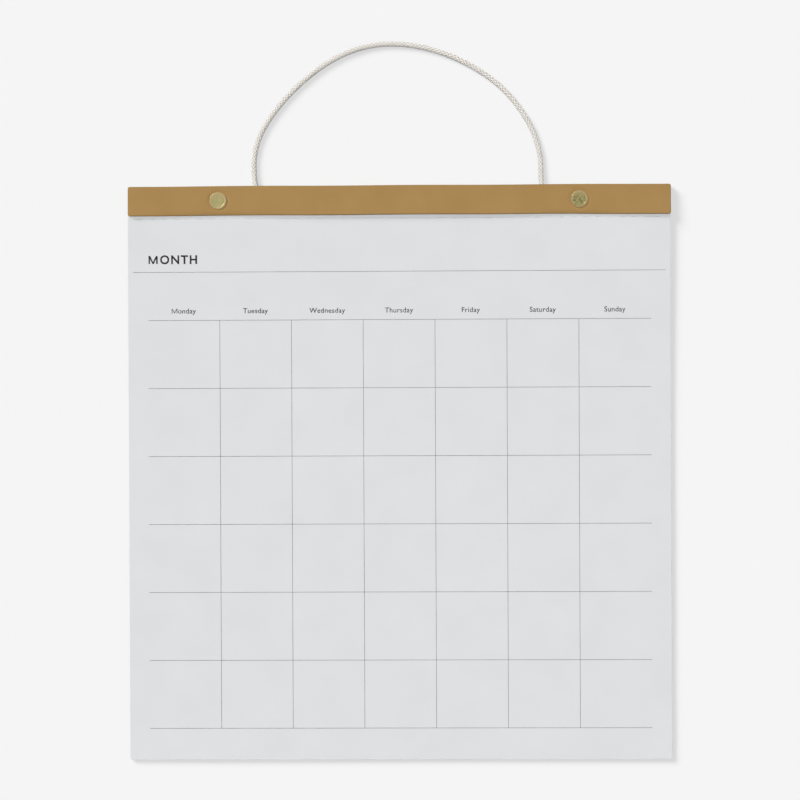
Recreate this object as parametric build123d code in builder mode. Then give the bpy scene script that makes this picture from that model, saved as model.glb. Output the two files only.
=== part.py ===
# Undated wall calendar, lying on its back: a block of month pages on a greyboard, bound at the
# top between two leather strips by two brass screw posts, with a cotton cord to hang it by.
#
# Frame: millimetres. +X runs across the page, +Y up the page towards the cord, and +Z out of
# the printed face. The origin is at the middle of the sheets, on the surface they lie on.
import os
from math import atan, degrees, pi, sin, tan

from build123d import *

# Pages and board
page_width = 323.9
page_height = 342.4
sheet_thickness = 0.14
sheet_count = 12
board_thickness = 1.2

# Leather strips
strip_height = 17.5
front_strip_thickness = 2.0
back_strip_thickness = 1.2
strip_corner_radius = 1.2
front_edge_round = 0.5

# The sheets are held above the surface by the back strip and settle onto it over this length.
settle_length = 120.0

# Tear-off slits
slit_length = 3.9
slit_pitch = 7.2
slit_width = 0.3
slit_below_strip = 1.6

# Brass screw posts
post_spacing = 215.5
barrel_radius = 2.5
bore_radius = 1.6
thread_clearance = 0.05
hole_clearance = 0.15
front_head_radius = 5.1
front_head_thickness = 0.9
front_head_sink = 0.4
front_head_round = 0.35
head_web = 0.6
rear_head_radius = 4.75
rear_head_thickness = 0.7
rear_head_recess = 0.1
tightening_gap = 0.3
slot_width = 1.0
slot_depth = 0.35

# Hanging cord
cord_diameter = 3.0
cord_clearance = 0.15
cord_spacing = 171.0
cord_seat_length = 12.0
cord_lead = 4.0
cord_lift = 0.05

# Levels and lines that the pieces share
block_thickness = sheet_count * sheet_thickness
stack_thickness = board_thickness + block_thickness
front_face = back_strip_thickness + stack_thickness + front_strip_thickness
top_edge = page_height / 2
strip_bottom = top_edge - strip_height
post_y = top_edge - strip_height / 2
post_x = post_spacing / 2
cord_x = cord_spacing / 2
cord_seat_end = top_edge - cord_seat_length
cord_seat_z = back_strip_thickness + stack_thickness / 2
cord_channel_radius = cord_diameter / 2 + cord_clearance

# Two equal arcs, bent opposite ways, bring the sheets down from the strip to the surface.
settle_angle = 2 * atan(back_strip_thickness / settle_length)
settle_radius = settle_length / (2 * sin(settle_angle))


def sheet_edge(lift):
    """Side view of one face of the sheets, at this height above the board's underside."""
    clamped = Line(
        (top_edge, back_strip_thickness + lift),
        (strip_bottom, back_strip_thickness + lift),
    )
    falling = JernArc(clamped @ 1, (-1, 0), settle_radius + lift, degrees(settle_angle))
    landing = JernArc(falling @ 1, falling % 1, settle_radius - lift, -degrees(settle_angle))
    lying = Line(landing @ 1, (-top_edge, lift))
    return clamped @ 0, lying @ 1


def sheet_section(underside, topside):
    """Closed side view of the sheets between two heights above the board's underside."""
    with BuildSketch(Plane.YZ) as section:
        with BuildLine():
            lower_head, lower_foot = sheet_edge(underside)
            upper_head, upper_foot = sheet_edge(topside)
            Line(lower_head, upper_head)
            Line(lower_foot, upper_foot)
        make_face()
    return section.sketch


def cut_binding():
    """Post holes and cord notches through the sheets in the current part."""
    with Locations((-post_x, post_y), (post_x, post_y)):
        Hole(barrel_radius + hole_clearance)
    with BuildSketch(Plane.XY) as notches:
        with Locations((-cord_x, cord_seat_end), (cord_x, cord_seat_end)):
            Rectangle(
                2 * cord_channel_radius,
                2 * cord_seat_length,
                align=(Align.CENTER, Align.MIN),
            )
    extrude(notches.sketch, amount=front_face, mode=Mode.SUBTRACT)


def cut_cord_channels():
    """Grooves that the clamped cord presses into the inner face of the current strip."""
    with BuildSketch(Plane.XZ.offset(-top_edge - cord_seat_length)) as channels:
        with Locations((-cord_x, cord_seat_z), (cord_x, cord_seat_z)):
            Circle(cord_channel_radius)
    extrude(channels.sketch, amount=2 * cord_seat_length, mode=Mode.SUBTRACT)


def strip_outline(level):
    """Rounded outline of a leather strip on the plane at this level."""
    with BuildSketch(Plane.XY.offset(level)) as outline:
        with Locations((0, post_y)):
            RectangleRounded(page_width, strip_height, strip_corner_radius)
    return outline.sketch


# Greyboard behind the pages
with BuildPart() as backing_board:
    extrude(sheet_section(0, board_thickness), amount=page_width / 2, both=True)
    cut_binding()

# The pages, as one block, with a row of slits below the strip for tearing them off
with BuildPart() as page_block:
    extrude(sheet_section(board_thickness, stack_thickness), amount=page_width / 2, both=True)
    cut_binding()
    with BuildSketch(Plane.XY):
        with Locations((0, strip_bottom - slit_below_strip)):
            with GridLocations(slit_pitch, 0, int((page_width - slit_length) / slit_pitch), 1):
                Rectangle(slit_length, slit_width)
    extrude(amount=front_face, mode=Mode.SUBTRACT)

# Front strip, softened round its outer face, with a dished seat for each post head
with BuildPart() as front_strip:
    extrude(strip_outline(front_face - front_strip_thickness), amount=front_strip_thickness)
    fillet(front_strip.faces().sort_by(Axis.Z)[-1].edges(), front_edge_round)
    with Locations((-post_x, post_y, front_face), (post_x, post_y, front_face)):
        CounterBoreHole(
            barrel_radius + hole_clearance,
            front_head_radius + hole_clearance,
            front_head_sink,
        )
    cut_cord_channels()

# Back strip, with the screw heads let in so that it lies flat
with BuildPart() as back_strip:
    extrude(strip_outline(0), amount=back_strip_thickness)
    with Locations(
        Location((-post_x, post_y, 0), (180, 0, 0)),
        Location((post_x, post_y, 0), (180, 0, 0)),
    ):
        CounterBoreHole(
            barrel_radius + hole_clearance,
            rear_head_radius + hole_clearance,
            rear_head_recess + rear_head_thickness,
        )
    cut_cord_channels()

# Levels inside a screw post, from the rear head forward
rear_head_seat = rear_head_recess + rear_head_thickness
barrel_end = rear_head_seat + tightening_gap
front_head_seat = front_face - front_head_sink
bore_end = front_head_seat + front_head_thickness - head_web
shank_end = bore_end - tightening_gap


def make_post(x):
    """Post: a plain round head in front and a hollow barrel through the stack."""
    with BuildPart() as post:
        with BuildSketch(Plane.XY.offset(front_head_seat)):
            with Locations((x, post_y)):
                Circle(front_head_radius)
        extrude(amount=front_head_thickness)
        fillet(post.faces().sort_by(Axis.Z)[-1].edges(), front_head_round)
        with BuildSketch(Plane.XY.offset(barrel_end)):
            with Locations((x, post_y)):
                Circle(barrel_radius)
        extrude(amount=front_head_seat - barrel_end)
        with BuildSketch(Plane.XY.offset(barrel_end)):
            with Locations((x, post_y)):
                Circle(bore_radius)
        extrude(amount=bore_end - barrel_end, mode=Mode.SUBTRACT)
    return post.part


def make_screw(x):
    """Screw: a slotted head behind and a shank into the barrel of its post."""
    with BuildPart() as screw:
        with BuildSketch(Plane.XY.offset(rear_head_recess)):
            with Locations((x, post_y)):
                Circle(rear_head_radius)
        extrude(amount=rear_head_thickness)
        with BuildSketch(Plane.XY.offset(rear_head_seat)):
            with Locations((x, post_y)):
                Circle(bore_radius - thread_clearance)
        extrude(amount=shank_end - rear_head_seat)
        with BuildSketch(Plane.XY.offset(rear_head_recess)):
            with Locations((x, post_y)):
                Rectangle(slot_width, 3 * rear_head_radius, rotation=35)
        extrude(amount=slot_depth, mode=Mode.SUBTRACT)
    return screw.part


# Hanging cord: out of the seats between the strips, down onto the surface, and round in one
# arch. The arch's points are chosen by hand, each as a place across and a rise above the top
# edge, and they lie outside the curve that they shape.
cord_rest = cord_diameter / 2 + cord_lift
arch = [
    (-87.0, 20.0),
    (-80.5, 37.0),
    (-63.0, 58.5),
    (-40.0, 76.5),
    (-15.0, 85.5),
    (11.5, 84.5),
    (37.0, 76.0),
    (60.5, 60.5),
    (78.0, 39.0),
    (85.0, 20.5),
]
cord_points = [
    (-cord_x, cord_seat_end, cord_seat_z),
    (-cord_x, top_edge + cord_lead, cord_seat_z),
    *[(x, top_edge + rise, cord_rest) for x, rise in arch],
    (cord_x, top_edge + cord_lead, cord_seat_z),
    (cord_x, cord_seat_end, cord_seat_z),
]


def corner_radii(points):
    """The largest fair radius at each corner of a route."""
    places = [Vector(*point) for point in points]
    runs = [end - start for start, end in zip(places, places[1:])]
    radii = []
    for before, after in zip(runs, runs[1:]):
        half_turn = before.get_angle(after) / 2 * pi / 180
        radii.append(0.45 * min(before.length, after.length) / tan(half_turn))
    return radii


cord_radii = corner_radii(cord_points)
with BuildPart() as hanging_cord:
    with BuildLine():
        cord_route = FilletPolyline(*cord_points, radius=cord_radii)
    with BuildSketch(Plane(origin=cord_points[0], z_dir=(0, 1, 0))):
        Circle(cord_diameter / 2)
    sweep(path=cord_route)

cord_volume = pi * cord_diameter**2 / 4 * cord_route.length
print("cord radii", [round(radius) for radius in cord_radii])
print("cord length", round(cord_route.length, 1))
print("cord volume over section times length", round(hanging_cord.part.volume / cord_volume, 4))

os.makedirs("parts", exist_ok=True)
pieces = {
    "front_strip": front_strip.part,
    "back_strip": back_strip.part,
    "page_block": page_block.part,
    "backing_board": backing_board.part,
    "hanging_cord": hanging_cord.part,
}
for side, x in (("left", -post_x), ("right", post_x)):
    pieces["binding_post_" + side] = make_post(x)
    pieces["binding_screw_" + side] = make_screw(x)
for name, piece in pieces.items():
    piece.label = name
    export_step(piece, f"parts/{name}.step")
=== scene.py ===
import math
import random

import bmesh
import bpy
from mathutils import Matrix, Vector
from mathutils.bvhtree import BVHTree


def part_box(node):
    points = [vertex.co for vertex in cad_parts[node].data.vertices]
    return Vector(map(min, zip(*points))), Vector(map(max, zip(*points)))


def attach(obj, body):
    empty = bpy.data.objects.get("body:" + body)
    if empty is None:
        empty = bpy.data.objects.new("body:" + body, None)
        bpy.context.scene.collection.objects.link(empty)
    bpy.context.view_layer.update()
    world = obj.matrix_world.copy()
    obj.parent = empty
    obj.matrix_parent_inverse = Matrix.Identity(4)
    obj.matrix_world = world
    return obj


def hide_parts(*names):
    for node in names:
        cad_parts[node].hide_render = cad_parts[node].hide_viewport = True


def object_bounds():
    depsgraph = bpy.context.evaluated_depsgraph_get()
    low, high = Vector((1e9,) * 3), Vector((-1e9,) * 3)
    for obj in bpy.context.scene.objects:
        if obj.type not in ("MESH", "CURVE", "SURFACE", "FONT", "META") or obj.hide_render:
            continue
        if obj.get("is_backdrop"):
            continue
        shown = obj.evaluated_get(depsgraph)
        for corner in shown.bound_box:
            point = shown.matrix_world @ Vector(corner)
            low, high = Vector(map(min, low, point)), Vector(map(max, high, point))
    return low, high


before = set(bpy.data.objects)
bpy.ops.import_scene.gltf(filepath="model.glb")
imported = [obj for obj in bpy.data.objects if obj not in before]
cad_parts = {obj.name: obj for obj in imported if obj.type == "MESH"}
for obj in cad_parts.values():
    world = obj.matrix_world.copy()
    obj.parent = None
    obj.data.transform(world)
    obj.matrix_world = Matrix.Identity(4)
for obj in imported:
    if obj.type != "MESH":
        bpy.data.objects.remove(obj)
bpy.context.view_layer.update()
mm = 0.001
random.seed(12)


def linearColour(hexCode):
    channels = [int(hexCode[i:i + 2], 16) / 255 for i in (1, 3, 5)]
    return [c / 12.92 if c <= 0.04045 else ((c + 0.055) / 1.055) ** 2.4 for c in channels] + [1.0]


# adds a shader node, sets its properties and sockets, and feeds its inputs
def addNode(tree, kind, settings=None, values=None, links=None):
    node = tree.nodes.new(kind)
    for key, value in (settings or {}).items():
        setattr(node, key, value)
    for key, value in (values or {}).items():
        node.inputs[key].default_value = value
    for key, socket in (links or {}).items():
        tree.links.new(socket, node.inputs[key])
    return node


def startMaterial(name):
    material = bpy.data.materials.new(name)
    material.use_nodes = True
    material.node_tree.nodes.clear()
    return material, material.node_tree


def closeMaterial(tree, shader):
    addNode(tree, "ShaderNodeOutputMaterial", links={"Surface": shader.outputs[0]})


def twoColours(tree, factor, dark, light, low=0.3, high=0.7):
    ramp = addNode(tree, "ShaderNodeValToRGB", links={"Fac": factor})
    ramp.color_ramp.elements[0].position = low
    ramp.color_ramp.elements[0].color = linearColour(dark)
    ramp.color_ramp.elements[1].position = high
    ramp.color_ramp.elements[1].color = linearColour(light)
    return ramp.outputs["Color"]


# a finished mesh becomes an object on the root body, standing for its CAD nodes
def addPiece(name, bm, material, nodes=(), smooth=True):
    mesh = bpy.data.meshes.new(name)
    bm.to_mesh(mesh)
    bm.free()
    for face in mesh.polygons:
        face.use_smooth = smooth
    piece = bpy.data.objects.new(name, mesh)
    bpy.context.collection.objects.link(piece)
    mesh.materials.append(material)
    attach(piece, "root")
    if nodes:
        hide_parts(*nodes)
    return piece


def sharpenCorners(bm, angle=35):
    for edge in bm.edges:
        if len(edge.link_faces) == 2:
            edge.smooth = edge.calc_face_angle(0) < math.radians(angle)


# slices the mesh, or only some of its faces, at each place along x or y
def cutAcross(bm, places, axis, chosen=None):
    normal = (1, 0, 0) if axis == 0 else (0, 1, 0)
    for place in places:
        point = (place, 0, 0) if axis == 0 else (0, place, 0)
        faces = [f for f in bm.faces if chosen is None or chosen(f.calc_center_median())]
        parts = [e for f in faces for e in f.edges] + [v for f in faces for v in f.verts] + faces
        parts = list(dict.fromkeys(parts))
        bmesh.ops.bisect_plane(bm, geom=parts, plane_co=point, plane_no=normal, dist=1e-7)


def holderFor(name, bm):
    mesh = bpy.data.meshes.new(name)
    bm.to_mesh(mesh)
    bm.free()
    holder = bpy.data.objects.new(name, mesh)
    bpy.context.collection.objects.link(holder)
    return holder


# takes the cutter's volume out of the body and gives the body back as a bmesh
def carve(body, cutter):
    bodyHolder = holderFor("body", body)
    cutterHolder = holderFor("cutter", cutter)
    cut = bodyHolder.modifiers.new("cut", "BOOLEAN")
    cut.operation = "DIFFERENCE"
    cut.object = cutterHolder
    cut.solver = "EXACT"
    graph = bpy.context.evaluated_depsgraph_get()
    mesh = bpy.data.meshes.new_from_object(bodyHolder.evaluated_get(graph))
    for holder in (bodyHolder, cutterHolder):
        old = holder.data
        bpy.data.objects.remove(holder)
        bpy.data.meshes.remove(old)
    result = bmesh.new()
    result.from_mesh(mesh)
    bpy.data.meshes.remove(mesh)
    return result


print("camera")
view = {"lens": 120.33, "sensor": 36, "place": (0.036, 0.0534, 1.6), "tilt": (-0.364, 1.277, -0.248)}
cameraData = bpy.data.cameras.new("camera")
cameraData.lens = view["lens"]
cameraData.sensor_width = view["sensor"]
camera = bpy.data.objects.new("camera", cameraData)
camera.location = view["place"]
camera.rotation_euler = [math.radians(a) for a in view["tilt"]]
bpy.context.collection.objects.link(camera)
bpy.context.scene.camera = camera

frontLow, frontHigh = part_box("front_strip")
pageLow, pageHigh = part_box("page_block")
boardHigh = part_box("backing_board")[1]
topEdge = frontHigh[1]
stripBottom = frontLow[1]
blockThickness = pageHigh[2] - boardHigh[2]


# height of the top page above the floor, found on the page block's own mesh
blockMesh = bmesh.new()
blockMesh.from_mesh(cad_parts["page_block"].data)
blockMesh.transform(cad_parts["page_block"].matrix_world)
blockTree = BVHTree.FromBMesh(blockMesh)
blockMesh.free()
heightCache = {}


def pageHeight(y):
    key = round(y, 7)
    if key not in heightCache:
        inside = min(max(y, pageLow[1] + 0.1 * mm), pageHigh[1] - 0.1 * mm)
        heightCache[key] = blockTree.ray_cast(Vector((0, inside, 0.1)), Vector((0, 0, -1)))[0][2]
    return heightCache[key]


print("hanging cord")
cord = {
    "diameter": 3.0 * mm,
    "seat": 12.0 * mm,
    "spacing": 171.0 * mm,
    "seatHeight": 2.64 * mm,
    "lie": 1.55 * mm,
    "strandsEachWay": 4,
    "pitch": 9.6 * mm,
    "strandWidth": 1.16 * mm,
    "flattening": 0.5,
    "weave": 0.13 * mm,
    # depth over which the painted shade in the valleys between strands deepens
    "valleyShadeDepth": 0.28 * mm,
    "step": 0.36 * mm,
    "coreRadius": 0.8 * mm,
    "coreEvery": 6,
    "fibres": 700,
    "fibreRadius": 0.02 * mm,
    "fibreRoot": 0.25 * mm,
    "fibreStand": 0.2 * mm,
    "fibreReach": (0.15 * mm, 0.6 * mm),
    "fibreDrift": 0.7 * mm,
}
arch = [
    (-86.6, 20.0),
    (-80.5, 37.0),
    (-63.0, 58.5),
    (-40.0, 76.5),
    (-15.0, 85.5),
    (11.5, 84.5),
    (37.0, 76.0),
    (60.9, 60.9),
    (78.0, 39.0),
    (84.7, 20.5),
]
halfSpacing = cord["spacing"] / 2
route = [
    (-halfSpacing, topEdge - cord["seat"], cord["seatHeight"]),
    (-halfSpacing + 0.3 * mm, topEdge + 0.8 * mm, cord["seatHeight"]),
    (-halfSpacing - 0.9 * mm, topEdge + 4.6 * mm, 1.9 * mm),
]
route += [(x * mm, topEdge + rise * mm, cord["lie"]) for x, rise in arch]
route += [
    (halfSpacing - 0.4 * mm, topEdge + 4.0 * mm, 1.9 * mm),
    (halfSpacing, topEdge + 0.6 * mm, cord["seatHeight"]),
    (halfSpacing, topEdge - cord["seat"], cord["seatHeight"]),
]


# points along the route's own smooth line
def smoothPath(points, resolution):
    curve = bpy.data.curves.new("route", "CURVE")
    curve.dimensions = "3D"
    spline = curve.splines.new("NURBS")
    spline.points.add(len(points) - 1)
    for target, point in zip(spline.points, points):
        target.co = (*point, 1)
    spline.order_u = 3
    spline.use_endpoint_u = True
    spline.resolution_u = resolution
    holder = bpy.data.objects.new("route", curve)
    mesh = bpy.data.meshes.new_from_object(holder)
    places = [v.co.copy() for v in mesh.vertices]
    bpy.data.objects.remove(holder)
    bpy.data.meshes.remove(mesh)
    return places


# the same line with its points at even steps
def evenPath(places, step):
    even = [places[0]]
    carried = 0.0
    for before, after in zip(places, places[1:]):
        gap = (after - before).length
        while carried + gap >= step:
            before = before.lerp(after, (step - carried) / gap)
            gap = (after - before).length
            carried = 0.0
            even.append(before)
        carried += gap
    return even


cordPath = evenPath(smoothPath(route, 80), cord["step"])


# a frame across the path at each point, with its second axis kept upright
def pathFrames(places):
    frames = []
    for i, place in enumerate(places):
        along = (places[min(i + 1, len(places) - 1)] - places[max(i - 1, 0)]).normalized()
        side = along.cross(Vector((0, 0, 1))).normalized()
        frames.append((place, side, side.cross(along).normalized()))
    return frames


cordFrames = pathFrames(cordPath)


def tubeAlong(places, radius, roundness):
    curve = bpy.data.curves.new("tube", "CURVE")
    curve.dimensions = "3D"
    spline = curve.splines.new("POLY")
    spline.points.add(len(places) - 1)
    for target, place in zip(spline.points, places):
        target.co = (*place, 1)
    curve.bevel_depth = radius
    curve.bevel_resolution = roundness
    curve.use_fill_caps = True
    holder = bpy.data.objects.new("tube", curve)
    mesh = bpy.data.meshes.new_from_object(holder)
    bpy.data.objects.remove(holder)
    return mesh


# one flat strand of the braid, which passes over and under those that wind the other way
def braidStrand(turn, start):
    ridge = (cord["diameter"] - cord["strandWidth"] * cord["flattening"]) / 2 - cord["weave"]
    centres = []
    outward = []
    for index, (place, side, up) in enumerate(cordFrames):
        turns = index * cord["step"] / cord["pitch"]
        angle = 2 * math.pi * turns * turn + start
        out = math.cos(angle) * side + math.sin(angle) * up
        radius = ridge + turn * cord["weave"] * math.cos(2 * math.pi * turns * cord["strandsEachWay"])
        centres.append(place + radius * out)
        outward.append(out)
    mesh = tubeAlong(centres, cord["strandWidth"] / 2, 1)
    # the mesh lists the rings of its last and first ends before all the rings in order
    rings = [len(centres) - 1, 0] + list(range(len(centres)))
    ringSize = len(mesh.vertices) // len(rings)
    valley = mesh.attributes.new("valley", "FLOAT", "POINT")
    for vertex in mesh.vertices:
        ring = rings[vertex.index // ringSize]
        stand = (vertex.co - centres[ring]).dot(outward[ring])
        vertex.co -= (1 - cord["flattening"]) * stand * outward[ring]
        # how deep the point lies between the strands, which the cotton darkens as painted shade
        depth = cord["diameter"] / 2 - (vertex.co - cordPath[ring]).length
        valley.data[vertex.index].value = min(max(depth / cord["valleyShadeDepth"], 0), 1)
    return mesh


braid = bmesh.new()
for turn in (1, -1):
    for k in range(cord["strandsEachWay"]):
        strand = braidStrand(turn, 2 * math.pi * k / cord["strandsEachWay"])
        braid.from_mesh(strand)
        bpy.data.meshes.remove(strand)
core = tubeAlong(cordPath[::cord["coreEvery"]], cord["coreRadius"], 2)
braid.from_mesh(core)
bpy.data.meshes.remove(core)
bmesh.ops.remove_doubles(braid, verts=braid.verts, dist=1e-7)


# Undyed cotton, spun and braided: dull and a little warm; the valleys between strands are darkened as
# painted shade with a little grime.
def makeCotton():
    material, tree = startMaterial("undyedCotton")
    place = addNode(tree, "ShaderNodeTexCoord").outputs["Object"]
    # 0.7 mm blotches of lighter and darker yarn
    blotch = addNode(
        tree, "ShaderNodeTexNoise", values={"Scale": 1400, "Detail": 3}, links={"Vector": place},
    )
    yarn = twoColours(tree, blotch.outputs["Fac"], "#f3efe8", "#fdfbf7")
    valley = addNode(tree, "ShaderNodeAttribute", settings={"attribute_name": "valley"})
    # the valleys are darkened towards #d9d1c4: painted shade between the strands, with a little grime
    colour = addNode(
        tree, "ShaderNodeMix", settings={"data_type": "RGBA"},
        links={"Factor": valley.outputs["Fac"], "A": yarn}, values={"B": linearColour("#d9d1c4")},
    )
    # 0.15 mm fibres, coarser than real ones so that they show
    fibre = addNode(tree, "ShaderNodeTexNoise", values={"Scale": 6500, "Detail": 2}, links={"Vector": place})
    bump = addNode(
        tree, "ShaderNodeBump", values={"Strength": 0.5, "Distance": 0.1 * mm},
        links={"Height": fibre.outputs["Fac"]},
    )
    shader = addNode(
        tree, "ShaderNodeBsdfPrincipled",
        values={"Roughness": 0.9, "Sheen Weight": 0.25, "Sheen Roughness": 0.5, "Specular IOR Level": 0.2},
        links={"Base Color": colour.outputs["Result"], "Normal": bump.outputs["Normal"]},
    )
    closeMaterial(tree, shader)
    return material


cotton = makeCotton()
cordPiece = addPiece("braidedCord", braid, cotton, ["hanging_cord"])

# loose fibre ends that stand off the braid
fuzz = bmesh.new()
for i in range(cord["fibres"]):
    index = random.randrange(1, len(cordPath) - 1)
    place, side, up = cordFrames[index]
    along = (cordPath[index + 1] - cordPath[index - 1]).normalized()
    angle = random.uniform(-0.1, 1.1) * math.pi
    out = math.cos(angle) * side + math.sin(angle) * up
    reach = random.uniform(*cord["fibreReach"])
    drift = random.uniform(-cord["fibreDrift"], cord["fibreDrift"]) * along
    root = place + out * (cord["diameter"] / 2 - cord["fibreRoot"])
    bend = root + out * (cord["fibreStand"] + reach * 0.6) + drift * 0.4
    tip = root + out * (cord["fibreStand"] + reach) + drift
    # none is drawn inside the binding or through the floor
    if place[1] < topEdge + 1 * mm or min(bend[2], tip[2]) < 0.1 * mm:
        continue
    fibre = tubeAlong([root, bend, tip], cord["fibreRadius"], 0)
    fuzz.from_mesh(fibre)
    bpy.data.meshes.remove(fibre)
addPiece("cordFuzz", fuzz, cotton)


print("leather strips")
leather = {
    "corner": 1.2 * mm,
    "edgeRound": 0.5 * mm,
    "headRadius": 5.1 * mm,
    "headSink": 0.42 * mm,
    "dishReach": 2.0 * mm,
    "dishStep": 0.6 * mm,
    "columnStart": 5 * mm,
    "columnStep": 6 * mm,
    "columnMargin": 8 * mm,
    "barrelHole": 2.65 * mm,
    "cordGroove": 1.65 * mm,
    "rubWidth": 0.5 * mm,
    "rubStrength": 0.6,
    "shift": 0.15 * mm,
    "bow": 0.35 * mm,
    "edgeWave": 0.09 * mm,
    "leftDip": 0.12 * mm,
    "rightDrop": 0.3 * mm,
    "faceWave": 0.05 * mm,
    "lift": 1.1 * mm,
    "pull": 0.7 * mm,
    "pullReach": 30 * mm,
    "pullBand": 3.4 * mm,
}
postCentres = []
for side in ("left", "right"):
    low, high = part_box("binding_post_" + side)
    postCentres.append((Vector(low) + Vector(high)) / 2)


# Smooth vegetable-tanned leather, rolled and dyed: even and matt, with fine pores and rubbed edges.
def makeLeather():
    material, tree = startMaterial("tanLeather")
    place = addNode(tree, "ShaderNodeTexCoord").outputs["Object"]
    # 20 mm clouds where the dye took unevenly
    cloud = addNode(tree, "ShaderNodeTexNoise", values={"Scale": 50, "Detail": 4}, links={"Vector": place})
    body = twoColours(tree, cloud.outputs["Fac"], "#a38250", "#a98755")
    rub = addNode(tree, "ShaderNodeAttribute", settings={"attribute_name": "edgeRub"})
    edge = addNode(
        tree, "ShaderNodeMix", settings={"data_type": "RGBA"},
        links={"Factor": rub.outputs["Fac"], "A": body}, values={"B": linearColour("#9d7a45")},
    )
    # 0.35 mm pores
    pore = addNode(
        tree, "ShaderNodeTexVoronoi", values={"Scale": 2800, "Randomness": 1.0}, links={"Vector": place},
    )
    grain = addNode(tree, "ShaderNodeTexNoise", values={"Scale": 900, "Detail": 5}, links={"Vector": place})
    height = addNode(
        tree, "ShaderNodeMath", settings={"operation": "MULTIPLY"},
        links={0: pore.outputs["Distance"], 1: grain.outputs["Fac"]},
    )
    bump = addNode(
        tree, "ShaderNodeBump", values={"Strength": 0.35, "Distance": 0.08 * mm},
        links={"Height": height.outputs[0]},
    )
    shader = addNode(
        tree, "ShaderNodeBsdfPrincipled", values={"Roughness": 0.66, "Specular IOR Level": 0.25},
        links={"Base Color": edge.outputs["Result"], "Normal": bump.outputs["Normal"]},
    )
    closeMaterial(tree, shader)
    return material


def roundBar(centre, radius, start, end, upright=True):
    bm = bmesh.new()
    bmesh.ops.create_cone(
        bm, cap_ends=True, segments=48, radius1=radius, radius2=radius, depth=end - start,
    )
    if not upright:
        bmesh.ops.rotate(bm, verts=bm.verts, matrix=Matrix.Rotation(math.pi / 2, 3, "X"))
    middle = (start + end) / 2
    place = (centre[0], centre[1], middle) if upright else (centre[0], middle, centre[2])
    bmesh.ops.translate(bm, verts=bm.verts, vec=place)
    return bm


def joinInto(target, extra):
    mesh = bpy.data.meshes.new("joined")
    extra.to_mesh(mesh)
    extra.free()
    target.from_mesh(mesh)
    bpy.data.meshes.remove(mesh)


# the four openings of the binding: two barrels and two cord seats
def bindingCutter(cordShape):
    cutter = bmesh.new()
    for centre in postCentres:
        joinInto(cutter, roundBar(centre, leather["barrelHole"], -5 * mm, 15 * mm))
    for x in (-halfSpacing, halfSpacing):
        joinInto(cutter, cordShape(x))
    return cutter


def cordGroove(x):
    centre = (x, 0, cord["seatHeight"])
    return roundBar(centre, leather["cordGroove"], topEdge - cord["seat"], topEdge + 5 * mm, upright=False)


low, high = (Vector(corner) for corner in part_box("front_strip"))
middle = (low + high) / 2
size = high - low
strip = bmesh.new()
bmesh.ops.create_cube(strip, size=1)
bmesh.ops.scale(strip, verts=strip.verts, vec=size)
bmesh.ops.translate(strip, verts=strip.verts, vec=middle)
upright = [e for e in strip.edges if abs(e.verts[0].co.z - e.verts[1].co.z) > size.z / 2]
bmesh.ops.bevel(
    strip, geom=upright, offset=leather["corner"], segments=6, profile=0.5, affect="EDGES", material=-1,
)
outerRim = [e for e in strip.edges if min(v.co.z for v in e.verts) > high.z - 1e-7]
bmesh.ops.bevel(
    strip, geom=outerRim, offset=leather["edgeRound"], segments=5, profile=0.5, affect="EDGES", material=-1,
)
reach = leather["headRadius"] + leather["dishReach"]
dishCuts = [i * leather["dishStep"] - reach for i in range(int(2 * reach / leather["dishStep"]) + 2)]
columnCount = int((size.x - leather["columnMargin"]) / leather["columnStep"])
columns = [low.x + leather["columnStart"] + i * leather["columnStep"] for i in range(columnCount)]
for centre in postCentres:
    columns += [centre.x + cut for cut in dishCuts]
cutAcross(strip, columns, 0)
cutAcross(strip, [middle.y + cut for cut in dishCuts], 1)
strip = carve(strip, bindingCutter(cordGroove))
rubLayer = strip.verts.layers.float.new("edgeRub")
for v in strip.verts:
    inset = min(v.co.x - low.x, high.x - v.co.x, v.co.y - low.y, high.y - v.co.y)
    v[rubLayer] = max(0.0, 1 - inset / leather["rubWidth"]) * leather["rubStrength"]
    raised = (v.co.z - low.z) / size.z
    # each head presses the leather down round itself
    for centre in postCentres:
        away = math.hypot(v.co.x - centre.x, v.co.y - centre.y) - leather["headRadius"]
        t = min(max(1 - away / leather["dishReach"], 0), 1)
        v.co.z -= raised * leather["headSink"] * t * t * (3 - 2 * t)
    across = (v.co.x - middle.x) / size.x
    upper = (v.co.y - low.y) / size.y
    v.co.x += leather["shift"]
    v.co.y += leather["bow"] * (1 - 0.5 * across * across)
    v.co.y += leather["edgeWave"] * math.sin(across * 21 + 1)
    v.co.y -= leather["leftDip"] * max(0, -across - 0.35) / 0.15
    # the right end is cut a little taller than the left
    v.co.y -= (1 - upper) * leather["rightDrop"] * min(max((across - 0.28) / 0.1, 0), 1)
    v.co.z += raised * leather["faceWave"] * math.sin(across * 31 + 1)
    # between the posts and at its ends the lower edge stands off the pages
    gape = max(0, math.cos(across * math.pi * 1.6)) + 0.6 * max(0, (abs(across) - 0.4) / 0.1)
    v.co.z += leather["lift"] * gape * (1 - upper) * (1 - upper)
    # each post draws the lower edge down on to the pages
    near = sum(math.exp(-((v.co.x - centre.x) / leather["pullReach"]) ** 2) for centre in postCentres)
    v.co.z -= raised * leather["pull"] * near * max(0, 1 - upper * size.y / leather["pullBand"]) ** 2
sharpenCorners(strip)
tanLeather = makeLeather()
addPiece("leatherFront", strip, tanLeather, ["front_strip"])


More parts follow.
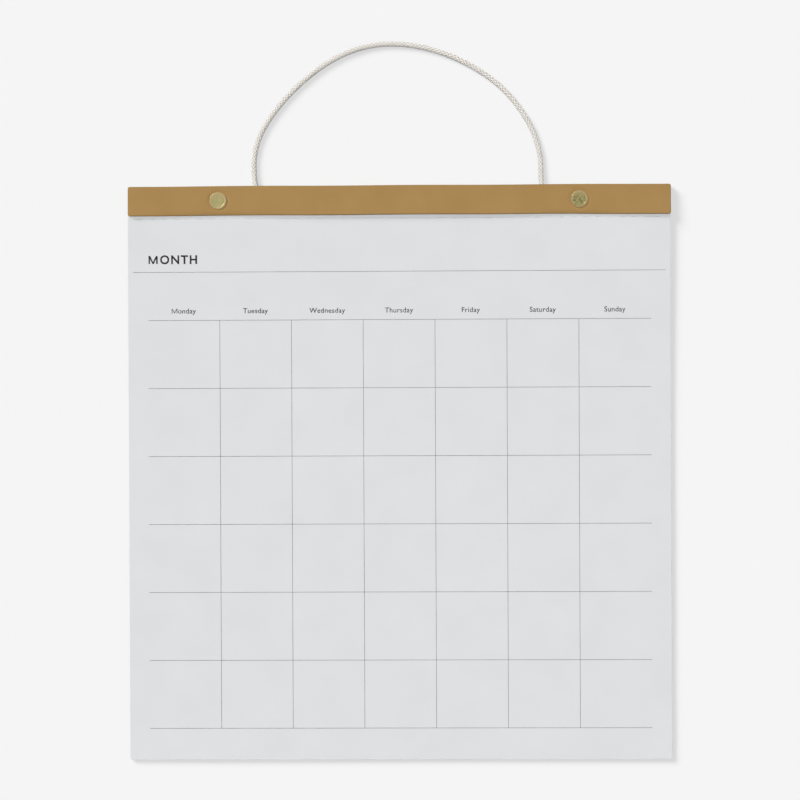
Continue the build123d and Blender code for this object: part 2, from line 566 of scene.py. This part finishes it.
print("pages")
pages = {
    "sheets": 12,
    "sheetThickness": 0.13 * mm,
    "settle": 120 * mm,
    "settleRow": 5 * mm,
    "slitLength": 3.9 * mm,
    "slitPitch": 7.2 * mm,
    "slitWidth": 0.08 * mm,
    "slitDrop": 1.6 * mm,
    "slitLip": 0.35 * mm,
    "lipReach": 0.5 * mm,
    "slitBand": 5 * mm,
    "jog": 0.12 * mm,
    "jogReach": 50 * mm,
    "wave": 0.3 * mm,
    "waveStart": 15 * mm,
    "waveReach": 90 * mm,
    "cell": 12 * mm,
}


# Uncoated writing paper: white, quite matt, with a faint cloudy formation.
def makePaper():
    material, tree = startMaterial("writingPaper")
    place = addNode(tree, "ShaderNodeTexCoord").outputs["Object"]
    # 25 mm clouds in the sheet's formation
    cloud = addNode(tree, "ShaderNodeTexNoise", values={"Scale": 40, "Detail": 4}, links={"Vector": place})
    colour = twoColours(tree, cloud.outputs["Fac"], "#dddedf", "#e0e1e2")
    # 0.3 mm tooth, coarser than real fibres so that it shows
    tooth = addNode(tree, "ShaderNodeTexNoise", values={"Scale": 3300, "Detail": 3}, links={"Vector": place})
    bump = addNode(
        tree, "ShaderNodeBump", values={"Strength": 0.12, "Distance": 0.05 * mm},
        links={"Height": tooth.outputs["Fac"]},
    )
    shader = addNode(
        tree, "ShaderNodeBsdfPrincipled", values={"Roughness": 0.88, "Specular IOR Level": 0.2},
        links={"Base Color": colour, "Normal": bump.outputs["Normal"]},
    )
    closeMaterial(tree, shader)
    return material


settleEnd = stripBottom - pages["settle"]
settleCount = round(pages["settle"] / pages["settleRow"])
rowCount = int((settleEnd - pageLow[1]) / pages["cell"])
columnCount = int((pageHigh[0] - pageLow[0]) / pages["cell"])
pageRows = [stripBottom - i * pages["settleRow"] for i in range(settleCount + 1)]
pageRows += [settleEnd - i * pages["cell"] for i in range(1, rowCount + 1)]
pageColumns = [i * pages["cell"] + pageLow[0] for i in range(1, columnCount + 1)]
slitY = stripBottom - pages["slitDrop"]
slitTop = slitY + pages["slitWidth"] / 2
slitFoot = slitY - pages["slitWidth"] / 2
slitCount = int((pageHigh[0] - pageLow[0] - pages["slitLength"]) / pages["slitPitch"])
slitCentres = [(k - (slitCount - 1) / 2) * pages["slitPitch"] for k in range(slitCount)]


# how far the loose sheets stand up in slack waves below the binding
def slack(x, y):
    free = min(max((stripBottom - pages["waveStart"] - y) / pages["waveReach"], 0), 1)
    first = 0.5 + 0.5 * math.sin(x * 31 + y * 17 + 0.6)
    second = 0.5 + 0.5 * math.sin(x * 19 - y * 43 + 2.2)
    return pages["wave"] * free * free * (0.6 * first + 0.4 * second)


def topHeight(x, y):
    return pageHeight(y) + slack(x, y)


# one sheet with its slits, sheet 0 being the top one
def onePage(index):
    bm = bmesh.new()
    bmesh.ops.create_grid(bm, x_segments=1, y_segments=1, size=0.5)
    size = (Vector(pageHigh) - Vector(pageLow)).xy
    middle = (Vector(pageHigh) + Vector(pageLow)).xy / 2
    bmesh.ops.scale(bm, verts=bm.verts, vec=(size.x, size.y, 1))
    bmesh.ops.translate(bm, verts=bm.verts, vec=(middle.x, middle.y, 0))
    cutAcross(bm, pageRows, 1)
    cutAcross(bm, pageColumns, 0)
    lipRows = [slitFoot, slitTop, slitTop + pages["lipReach"]]
    cutAcross(bm, lipRows, 1, lambda at: slitY - pages["slitBand"] < at.y < stripBottom)
    ends = [x + side * pages["slitLength"] / 2 for x in slitCentres for side in (-1, 0, 1)]
    cutAcross(bm, ends, 0, lambda at: slitFoot < at.y < slitTop)
    slits = []
    for face in bm.faces:
        at = face.calc_center_median()
        near = min(abs(at.x - x) for x in slitCentres)
        if slitFoot < at.y < slitTop and near < pages["slitLength"] / 2:
            slits.append(face)
    bmesh.ops.delete(bm, geom=slits, context="FACES")
    below = index * blockThickness / pages["sheets"] + pages["sheetThickness"]
    loose = 1 - index / pages["sheets"]
    lips = [random.uniform(0.3, 1) for x in slitCentres]
    for v in bm.verts:
        v.co.z = pageHeight(v.co.y) + loose * slack(v.co.x, v.co.y) - below
        # the top sheet's slits stand open at the middle
        for x, lip in zip(slitCentres, lips):
            if index == 0 and abs(v.co.y - slitTop) < 1e-6 and abs(v.co.x - x) < 1e-6:
                v.co.z += lip * pages["slitLip"]
    jog = Vector((random.uniform(-1, 1), random.uniform(-1, 1), 0)) * pages["jog"]
    for v in bm.verts:
        v.co += jog * min(max((stripBottom - v.co.y) / pages["jogReach"], 0), 1)
    top = bmesh.ops.extrude_face_region(bm, geom=bm.faces[:])
    raised = [g for g in top["geom"] if isinstance(g, bmesh.types.BMVert)]
    bmesh.ops.translate(bm, verts=raised, vec=(0, 0, pages["sheetThickness"]))
    bmesh.ops.recalc_face_normals(bm, faces=bm.faces)
    return bm


def cordNotch(x):
    bm = bmesh.new()
    bmesh.ops.create_cube(bm, size=1)
    bmesh.ops.scale(bm, verts=bm.verts, vec=(2 * leather["cordGroove"], 2 * cord["seat"], 20 * mm))
    bmesh.ops.translate(bm, verts=bm.verts, vec=(x, topEdge, 0))
    return bm


block = bmesh.new()
for index in range(pages["sheets"]):
    joinInto(block, onePage(index))
block = carve(block, bindingCutter(cordNotch))
sharpenCorners(block)
writingPaper = makePaper()
addPiece("pageStack", block, writingPaper, ["page_block"])


print("printing")
ink = {
    "lift": 0.03 * mm,
    "ruleWidth": 0.2 * mm,
    "columns": 7,
    "rows": 6,
    "cellWidth": 42.9 * mm,
    "cellHeight": 40.7 * mm,
    "gridTop": 91.5 * mm,
    "monthRule": 120.3 * mm,
    "monthMargin": 2.95 * mm,
    "monthLine": 125.4 * mm,
    "monthStart": -149.7 * mm,
    "monthWidth": 29.1 * mm,
    "monthCap": 4.8 * mm,
    "monthWeight": 0.025,
    "dayLine": 95.7 * mm,
    "dayCap": 2.85 * mm,
    "dayWeight": 0.007,
}


# Offset ink: a thin, matt, slightly warm black.
def makeInk():
    material, tree = startMaterial("offsetInk")
    place = addNode(tree, "ShaderNodeTexCoord").outputs["Object"]
    # 1 mm unevenness in the film of ink
    film = addNode(tree, "ShaderNodeTexNoise", values={"Scale": 1000, "Detail": 2}, links={"Vector": place})
    colour = twoColours(tree, film.outputs["Fac"], "#2b2628", "#3a3537")
    shader = addNode(
        tree, "ShaderNodeBsdfPrincipled", values={"Roughness": 0.8, "Specular IOR Level": 0.2},
        links={"Base Color": colour},
    )
    closeMaterial(tree, shader)
    return material


offsetInk = makeInk()


def layOnPage(bm):
    for v in bm.verts:
        v.co.z = topHeight(v.co.x, v.co.y) + ink["lift"]


def ruleLine(bm, start, end):
    width = ink["ruleWidth"] / 2
    upright = abs(start[0] - end[0]) < 1e-9
    middle = Vector(((start[0] + end[0]) / 2, (start[1] + end[1]) / 2, 0))
    size = (2 * width, abs(end[1] - start[1])) if upright else (abs(end[0] - start[0]), 2 * width)
    made = bmesh.ops.create_grid(bm, x_segments=1, y_segments=1, size=0.5)
    bmesh.ops.scale(bm, verts=made["verts"], vec=(*size, 1))
    bmesh.ops.translate(bm, verts=made["verts"], vec=middle)


rules = bmesh.new()
gridHalf = ink["columns"] * ink["cellWidth"] / 2
gridBottom = ink["gridTop"] - ink["rows"] * ink["cellHeight"]
for row in range(ink["rows"] + 1):
    y = ink["gridTop"] - row * ink["cellHeight"]
    ruleLine(rules, (-gridHalf, y), (gridHalf, y))
for column in range(1, ink["columns"]):
    x = column * ink["cellWidth"] - gridHalf
    ruleLine(rules, (x, gridBottom), (x, ink["gridTop"]))
monthHalf = pageHigh[0] - ink["monthMargin"]
ruleLine(rules, (-monthHalf, ink["monthRule"]), (monthHalf, ink["monthRule"]))
cutAcross(rules, pageRows, 1)
cutAcross(rules, pageColumns, 0)
layOnPage(rules)
addPiece("printedRules", rules, offsetInk, smooth=False)


# a wide capital M, as tall as the built-in capitals, whose middle reaches the line
def capitalM(bm, stroke):
    tall = lettering["capital"]
    wide = lettering["wideM"]
    half = wide / 2
    shoulder = stroke * lettering["shoulderM"]
    valley = tall * lettering["valleyM"]
    fall = Vector((half - shoulder, valley - tall)).normalized()
    inner = Vector((shoulder, tall)) + stroke * Vector((fall.y, -fall.x))
    notch = inner.y + (stroke - inner.x) * fall.y / fall.x
    foot = inner.x - inner.y * fall.x / fall.y
    leftHalf = [(half, valley), (shoulder, tall), (0, tall), (0, 0)]
    leftHalf += [(stroke, 0), (stroke, notch), (foot, 0)]
    rightHalf = [(wide - x, y) for x, y in reversed(leftHalf[1:])]
    verts = [bm.verts.new((x, y, 0)) for x, y in leftHalf + rightHalf]
    face = bm.faces.new(verts)
    face.normal_update()
    bmesh.ops.triangulate(bm, faces=[face])


# a word in the built-in lettering, centred on x, or from x to a given width
def printWord(bm, text, capHeight, weight, spacing, gapM, x, y, width=None):
    letters = text.lstrip("M")
    curve = bpy.data.curves.new(text, "FONT")
    curve.body = letters
    curve.space_character = spacing
    curve.offset = weight
    curve.resolution_u = 6
    holder = bpy.data.objects.new(text, curve)
    mesh = bpy.data.meshes.new_from_object(holder)
    word = bmesh.new()
    word.from_mesh(mesh)
    start = min(v.co.x for v in word.verts)
    if letters != text:
        bmesh.ops.translate(word, verts=word.verts, vec=(lettering["wideM"] + gapM - start, 0, 0))
        capitalM(word, lettering["stem"] + 2 * weight)
        start = 0
    end = max(v.co.x for v in word.verts)
    tall = capHeight / lettering["capital"]
    wide = width / (end - start) if width else tall
    anchor = start if width else (start + end) / 2
    bmesh.ops.translate(word, verts=word.verts, vec=(-anchor, 0, 0))
    bmesh.ops.scale(word, verts=word.verts, vec=(wide, tall, 1))
    bmesh.ops.translate(word, verts=word.verts, vec=(x, y, 0))
    word.to_mesh(mesh)
    word.free()
    bm.from_mesh(mesh)
    bpy.data.objects.remove(holder)
    bpy.data.meshes.remove(mesh)


# measures of the built-in lettering at a size of 1, and of the drawn M
lettering = {"capital": 0.667, "stem": 0.076, "wideM": 0.78, "shoulderM": 1.15, "valleyM": 0.24}
words = bmesh.new()
printWord(
    words, "MONTH", ink["monthCap"], ink["monthWeight"], 1.2, 0.21, ink["monthStart"], ink["monthLine"],
    ink["monthWidth"],
)
days = ["Monday", "Tuesday", "Wednesday", "Thursday", "Friday", "Saturday", "Sunday"]
for column, day in enumerate(days):
    x = (column + 0.5) * ink["cellWidth"] - gridHalf
    printWord(words, day, ink["dayCap"], ink["dayWeight"], 1.05, 0.1, x, ink["dayLine"])
cutAcross(words, pageRows, 1)
cutAcross(words, pageColumns, 0)
layOnPage(words)
addPiece("printedWords", words, offsetInk, smooth=False)


print("greyboard")


# Recycled greyboard: warm grey with darker and lighter flecks of old fibre.
def makeBoard():
    material, tree = startMaterial("greyboard")
    place = addNode(tree, "ShaderNodeTexCoord").outputs["Object"]
    # 1.5 mm flecks
    fleck = addNode(tree, "ShaderNodeTexNoise", values={"Scale": 650, "Detail": 6}, links={"Vector": place})
    colour = twoColours(tree, fleck.outputs["Fac"], "#8f877b", "#aaa296", 0.35, 0.62)
    # 0.5 mm felt marks
    felt = addNode(tree, "ShaderNodeTexNoise", values={"Scale": 2000, "Detail": 3}, links={"Vector": place})
    bump = addNode(
        tree, "ShaderNodeBump", values={"Strength": 0.3, "Distance": 0.08 * mm},
        links={"Height": felt.outputs["Fac"]},
    )
    shader = addNode(
        tree, "ShaderNodeBsdfPrincipled", values={"Roughness": 0.92, "Specular IOR Level": 0.2},
        links={"Base Color": colour, "Normal": bump.outputs["Normal"]},
    )
    closeMaterial(tree, shader)
    return material


def coverNode(nodeName, material):
    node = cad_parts[nodeName]
    node.data.materials.clear()
    node.data.materials.append(material)


greyboard = makeBoard()
coverNode("backing_board", greyboard)


print("screw posts")
brass = {
    "headThickness": 0.9 * mm,
    "edgeRound": 0.3 * mm,
    "rim": 0.9 * mm,
    "step": 0.5 * mm,
    "dish": 0.14 * mm,
    "barrel": 2.5 * mm,
    "bore": 1.6 * mm,
    "web": 0.6 * mm,
    "nearly": 0.01 * mm,
}


# Brushed cartridge brass: pale yellow, with fine turning marks and a thin film of tarnish.
def makeBrass(name, clean, dull, rimColour, roughness, tarnishScale):
    material, tree = startMaterial(name)
    place = addNode(tree, "ShaderNodeTexCoord").outputs["Object"]
    tarnish = addNode(
        tree, "ShaderNodeTexNoise", values={"Scale": tarnishScale, "Detail": 4, "Distortion": 0.6},
        links={"Vector": place},
    )
    face = twoColours(tree, tarnish.outputs["Fac"], dull, clean, 0.38, 0.6)
    rim = addNode(tree, "ShaderNodeAttribute", settings={"attribute_name": "rimPolish"})
    colour = addNode(
        tree, "ShaderNodeMix", settings={"data_type": "RGBA"},
        links={"Factor": rim.outputs["Fac"], "A": face}, values={"B": linearColour(rimColour)},
    )
    # strokes 0.12 mm wide and 1.1 mm long, wider than real ones so that they show
    stretched = addNode(
        tree, "ShaderNodeMapping", values={"Scale": (1.0, 9.0, 1.0), "Rotation": (0, 0, 0.6)},
        links={"Vector": place},
    )
    brush = addNode(
        tree, "ShaderNodeTexNoise", values={"Scale": 900, "Detail": 3},
        links={"Vector": stretched.outputs["Vector"]},
    )
    bump = addNode(
        tree, "ShaderNodeBump", values={"Strength": 0.2, "Distance": 0.03 * mm},
        links={"Height": brush.outputs["Fac"]},
    )
    shader = addNode(
        tree, "ShaderNodeBsdfPrincipled", values={"Metallic": 1.0, "Roughness": roughness},
        links={"Base Color": colour.outputs["Result"], "Normal": bump.outputs["Normal"]},
    )
    closeMaterial(tree, shader)
    return material


paleBrass = makeBrass("brushedBrass", "#b2a878", "#a69d6c", "#b8a57a", 0.42, 500)
wornBrass = makeBrass("wornBrass", "#aaa070", "#756d45", "#b3a173", 0.36, 900)


# a rolled rim steps down to a slightly dished face, and a hollow barrel runs back through the stack
def postPiece(name, node, material):
    low, high = (Vector(c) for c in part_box(node))
    centre = (low + high) / 2
    radius = (high.x - low.x) / 2
    seat = high.z - brass["headThickness"]
    inner = radius - brass["rim"]
    boreEnd = high.z - brass["web"]
    outline = [(0, high.z - brass["dish"]), (inner - brass["step"], high.z - brass["dish"])]
    for step in range(1, 6):
        t = step / 5
        outline.append((
            inner - brass["step"] * (1 - t),
            high.z - brass["dish"] * (1 - t * t * (3 - 2 * t)),
        ))
    for step in range(7):
        turn = math.pi / 2 * step / 6
        outline.append((
            radius - brass["edgeRound"] * (1 - math.sin(turn)),
            high.z - brass["edgeRound"] * (1 - math.cos(turn)),
        ))
    outline += [(radius, seat), (brass["barrel"], seat), (brass["barrel"], low.z), (brass["bore"], low.z)]
    outline += [(brass["bore"], boreEnd), (0, boreEnd)]
    bm = bmesh.new()
    verts = [bm.verts.new((centre.x + r, centre.y, z)) for r, z in outline]
    edges = [bm.edges.new(pair) for pair in zip(verts, verts[1:])]
    bmesh.ops.spin(
        bm, geom=verts + edges, cent=centre, axis=(0, 0, 1), angle=2 * math.pi, steps=64,
        use_merge=True,
    )
    bmesh.ops.remove_doubles(bm, verts=bm.verts, dist=1e-7)
    bmesh.ops.recalc_face_normals(bm, faces=bm.faces)
    polish = bm.verts.layers.float.new("rimPolish")
    for v in bm.verts:
        # the head goes up with the leather, and the barrel stays in its hole
        out = math.hypot(v.co.x - centre.x, v.co.y - centre.y)
        if out > brass["barrel"] + brass["nearly"] or v.co.z > boreEnd + brass["nearly"]:
            v.co.y += leather["bow"]
        away = math.hypot(v.co.x - centre.x, v.co.y - centre.y)
        v[polish] = min(max((away - inner + brass["step"]) / brass["step"], 0), 1)
    sharpenCorners(bm, 40)
    addPiece(name, bm, material, [node])


postPiece("postLeft", "binding_post_left", paleBrass)
postPiece("postRight", "binding_post_right", wornBrass)
coverNode("binding_screw_left", paleBrass)
coverNode("binding_screw_right", paleBrass)
coverNode("back_strip", tanLeather)


print("floor and light")
studio = {
    "floor": "#f5f5f5",
    "floorHalf": 6,
    "floorDrop": 0.03 * mm,
    "firstBounce": 1.5,
    "fill": 0.03,
    "overhead": 0.72,
    "overheadSpread": 12,
    "key": 0.25,
    "keyHeight": 33,
    "keyBearing": 138,
    "keySpread": 26,
}


# Matt paint. Light scattered off a piece meets it as evenly bright, at a strength of 1.
def makeFloor():
    material, tree = startMaterial("floorPaint")
    paint = addNode(tree, "ShaderNodeBsdfDiffuse", values={"Color": linearColour(studio["floor"])})
    glow = addNode(tree, "ShaderNodeEmission", values={"Color": linearColour(studio["floor"])})
    path = addNode(tree, "ShaderNodeLightPath")
    early = addNode(
        tree, "ShaderNodeMath", settings={"operation": "LESS_THAN"},
        links={0: path.outputs["Ray Depth"]}, values={1: studio["firstBounce"]},
    )
    fromPiece = addNode(
        tree, "ShaderNodeMath", settings={"operation": "MULTIPLY"},
        links={0: path.outputs["Is Diffuse Ray"], 1: early.outputs[0]},
    )
    shader = addNode(
        tree, "ShaderNodeMixShader",
        links={0: fromPiece.outputs[0], 1: paint.outputs[0], 2: glow.outputs[0]},
    )
    closeMaterial(tree, shader)
    return material


floorMesh = bmesh.new()
bmesh.ops.create_grid(floorMesh, x_segments=1, y_segments=1, size=studio["floorHalf"])
bmesh.ops.translate(floorMesh, verts=floorMesh.verts, vec=(0, 0, -studio["floorDrop"]))
floorData = bpy.data.meshes.new("floor")
floorMesh.to_mesh(floorData)
floorMesh.free()
floorData.materials.append(makeFloor())
floor = bpy.data.objects.new("floor", floorData)
bpy.context.collection.objects.link(floor)
floor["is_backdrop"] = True

world = bpy.data.worlds.new("studio")
world.use_nodes = True
world.node_tree.nodes.clear()
sky = world.node_tree
path = addNode(sky, "ShaderNodeLightPath")
seen = addNode(
    sky, "ShaderNodeMath", settings={"operation": "MAXIMUM"},
    links={0: path.outputs["Is Camera Ray"], 1: path.outputs["Is Glossy Ray"]},
)
seenThrough = addNode(
    sky, "ShaderNodeMath", settings={"operation": "MAXIMUM"},
    links={0: seen.outputs[0], 1: path.outputs["Is Transmission Ray"]},
)
fill = addNode(sky, "ShaderNodeBackground", values={"Color": (1, 1, 1, 1), "Strength": studio["fill"]})
backdrop = addNode(sky, "ShaderNodeBackground", values={"Color": linearColour(studio["floor"])})
blend = addNode(
    sky, "ShaderNodeMixShader",
    links={0: seenThrough.outputs[0], 1: fill.outputs[0], 2: backdrop.outputs[0]},
)
addNode(sky, "ShaderNodeOutputWorld", links={"Surface": blend.outputs[0]})
bpy.context.scene.world = world


# a lamp that would light level ground to its share; what it strikes passes none of its light on
def addSun(name, share, height, bearing, spread):
    rise = math.radians(height)
    turn = math.radians(bearing)
    lamp = bpy.data.lights.new(name, "SUN")
    lamp.energy = share * math.pi / math.sin(rise)
    lamp.angle = math.radians(spread)
    lamp.cycles.max_bounces = 0
    holder = bpy.data.objects.new(name, lamp)
    towards = Vector((math.cos(turn) * math.cos(rise), math.sin(turn) * math.cos(rise), math.sin(rise)))
    holder.rotation_euler = towards.to_track_quat("Z", "Y").to_euler()
    bpy.context.collection.objects.link(holder)
    return holder


overhead = addSun("overhead", studio["overhead"], 90, 0, studio["overheadSpread"])
overhead.visible_glossy = False
addSun("key", studio["key"], studio["keyHeight"], studio["keyBearing"], studio["keySpread"])

bpy.context.scene.view_settings.view_transform = "Standard"

low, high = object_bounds()
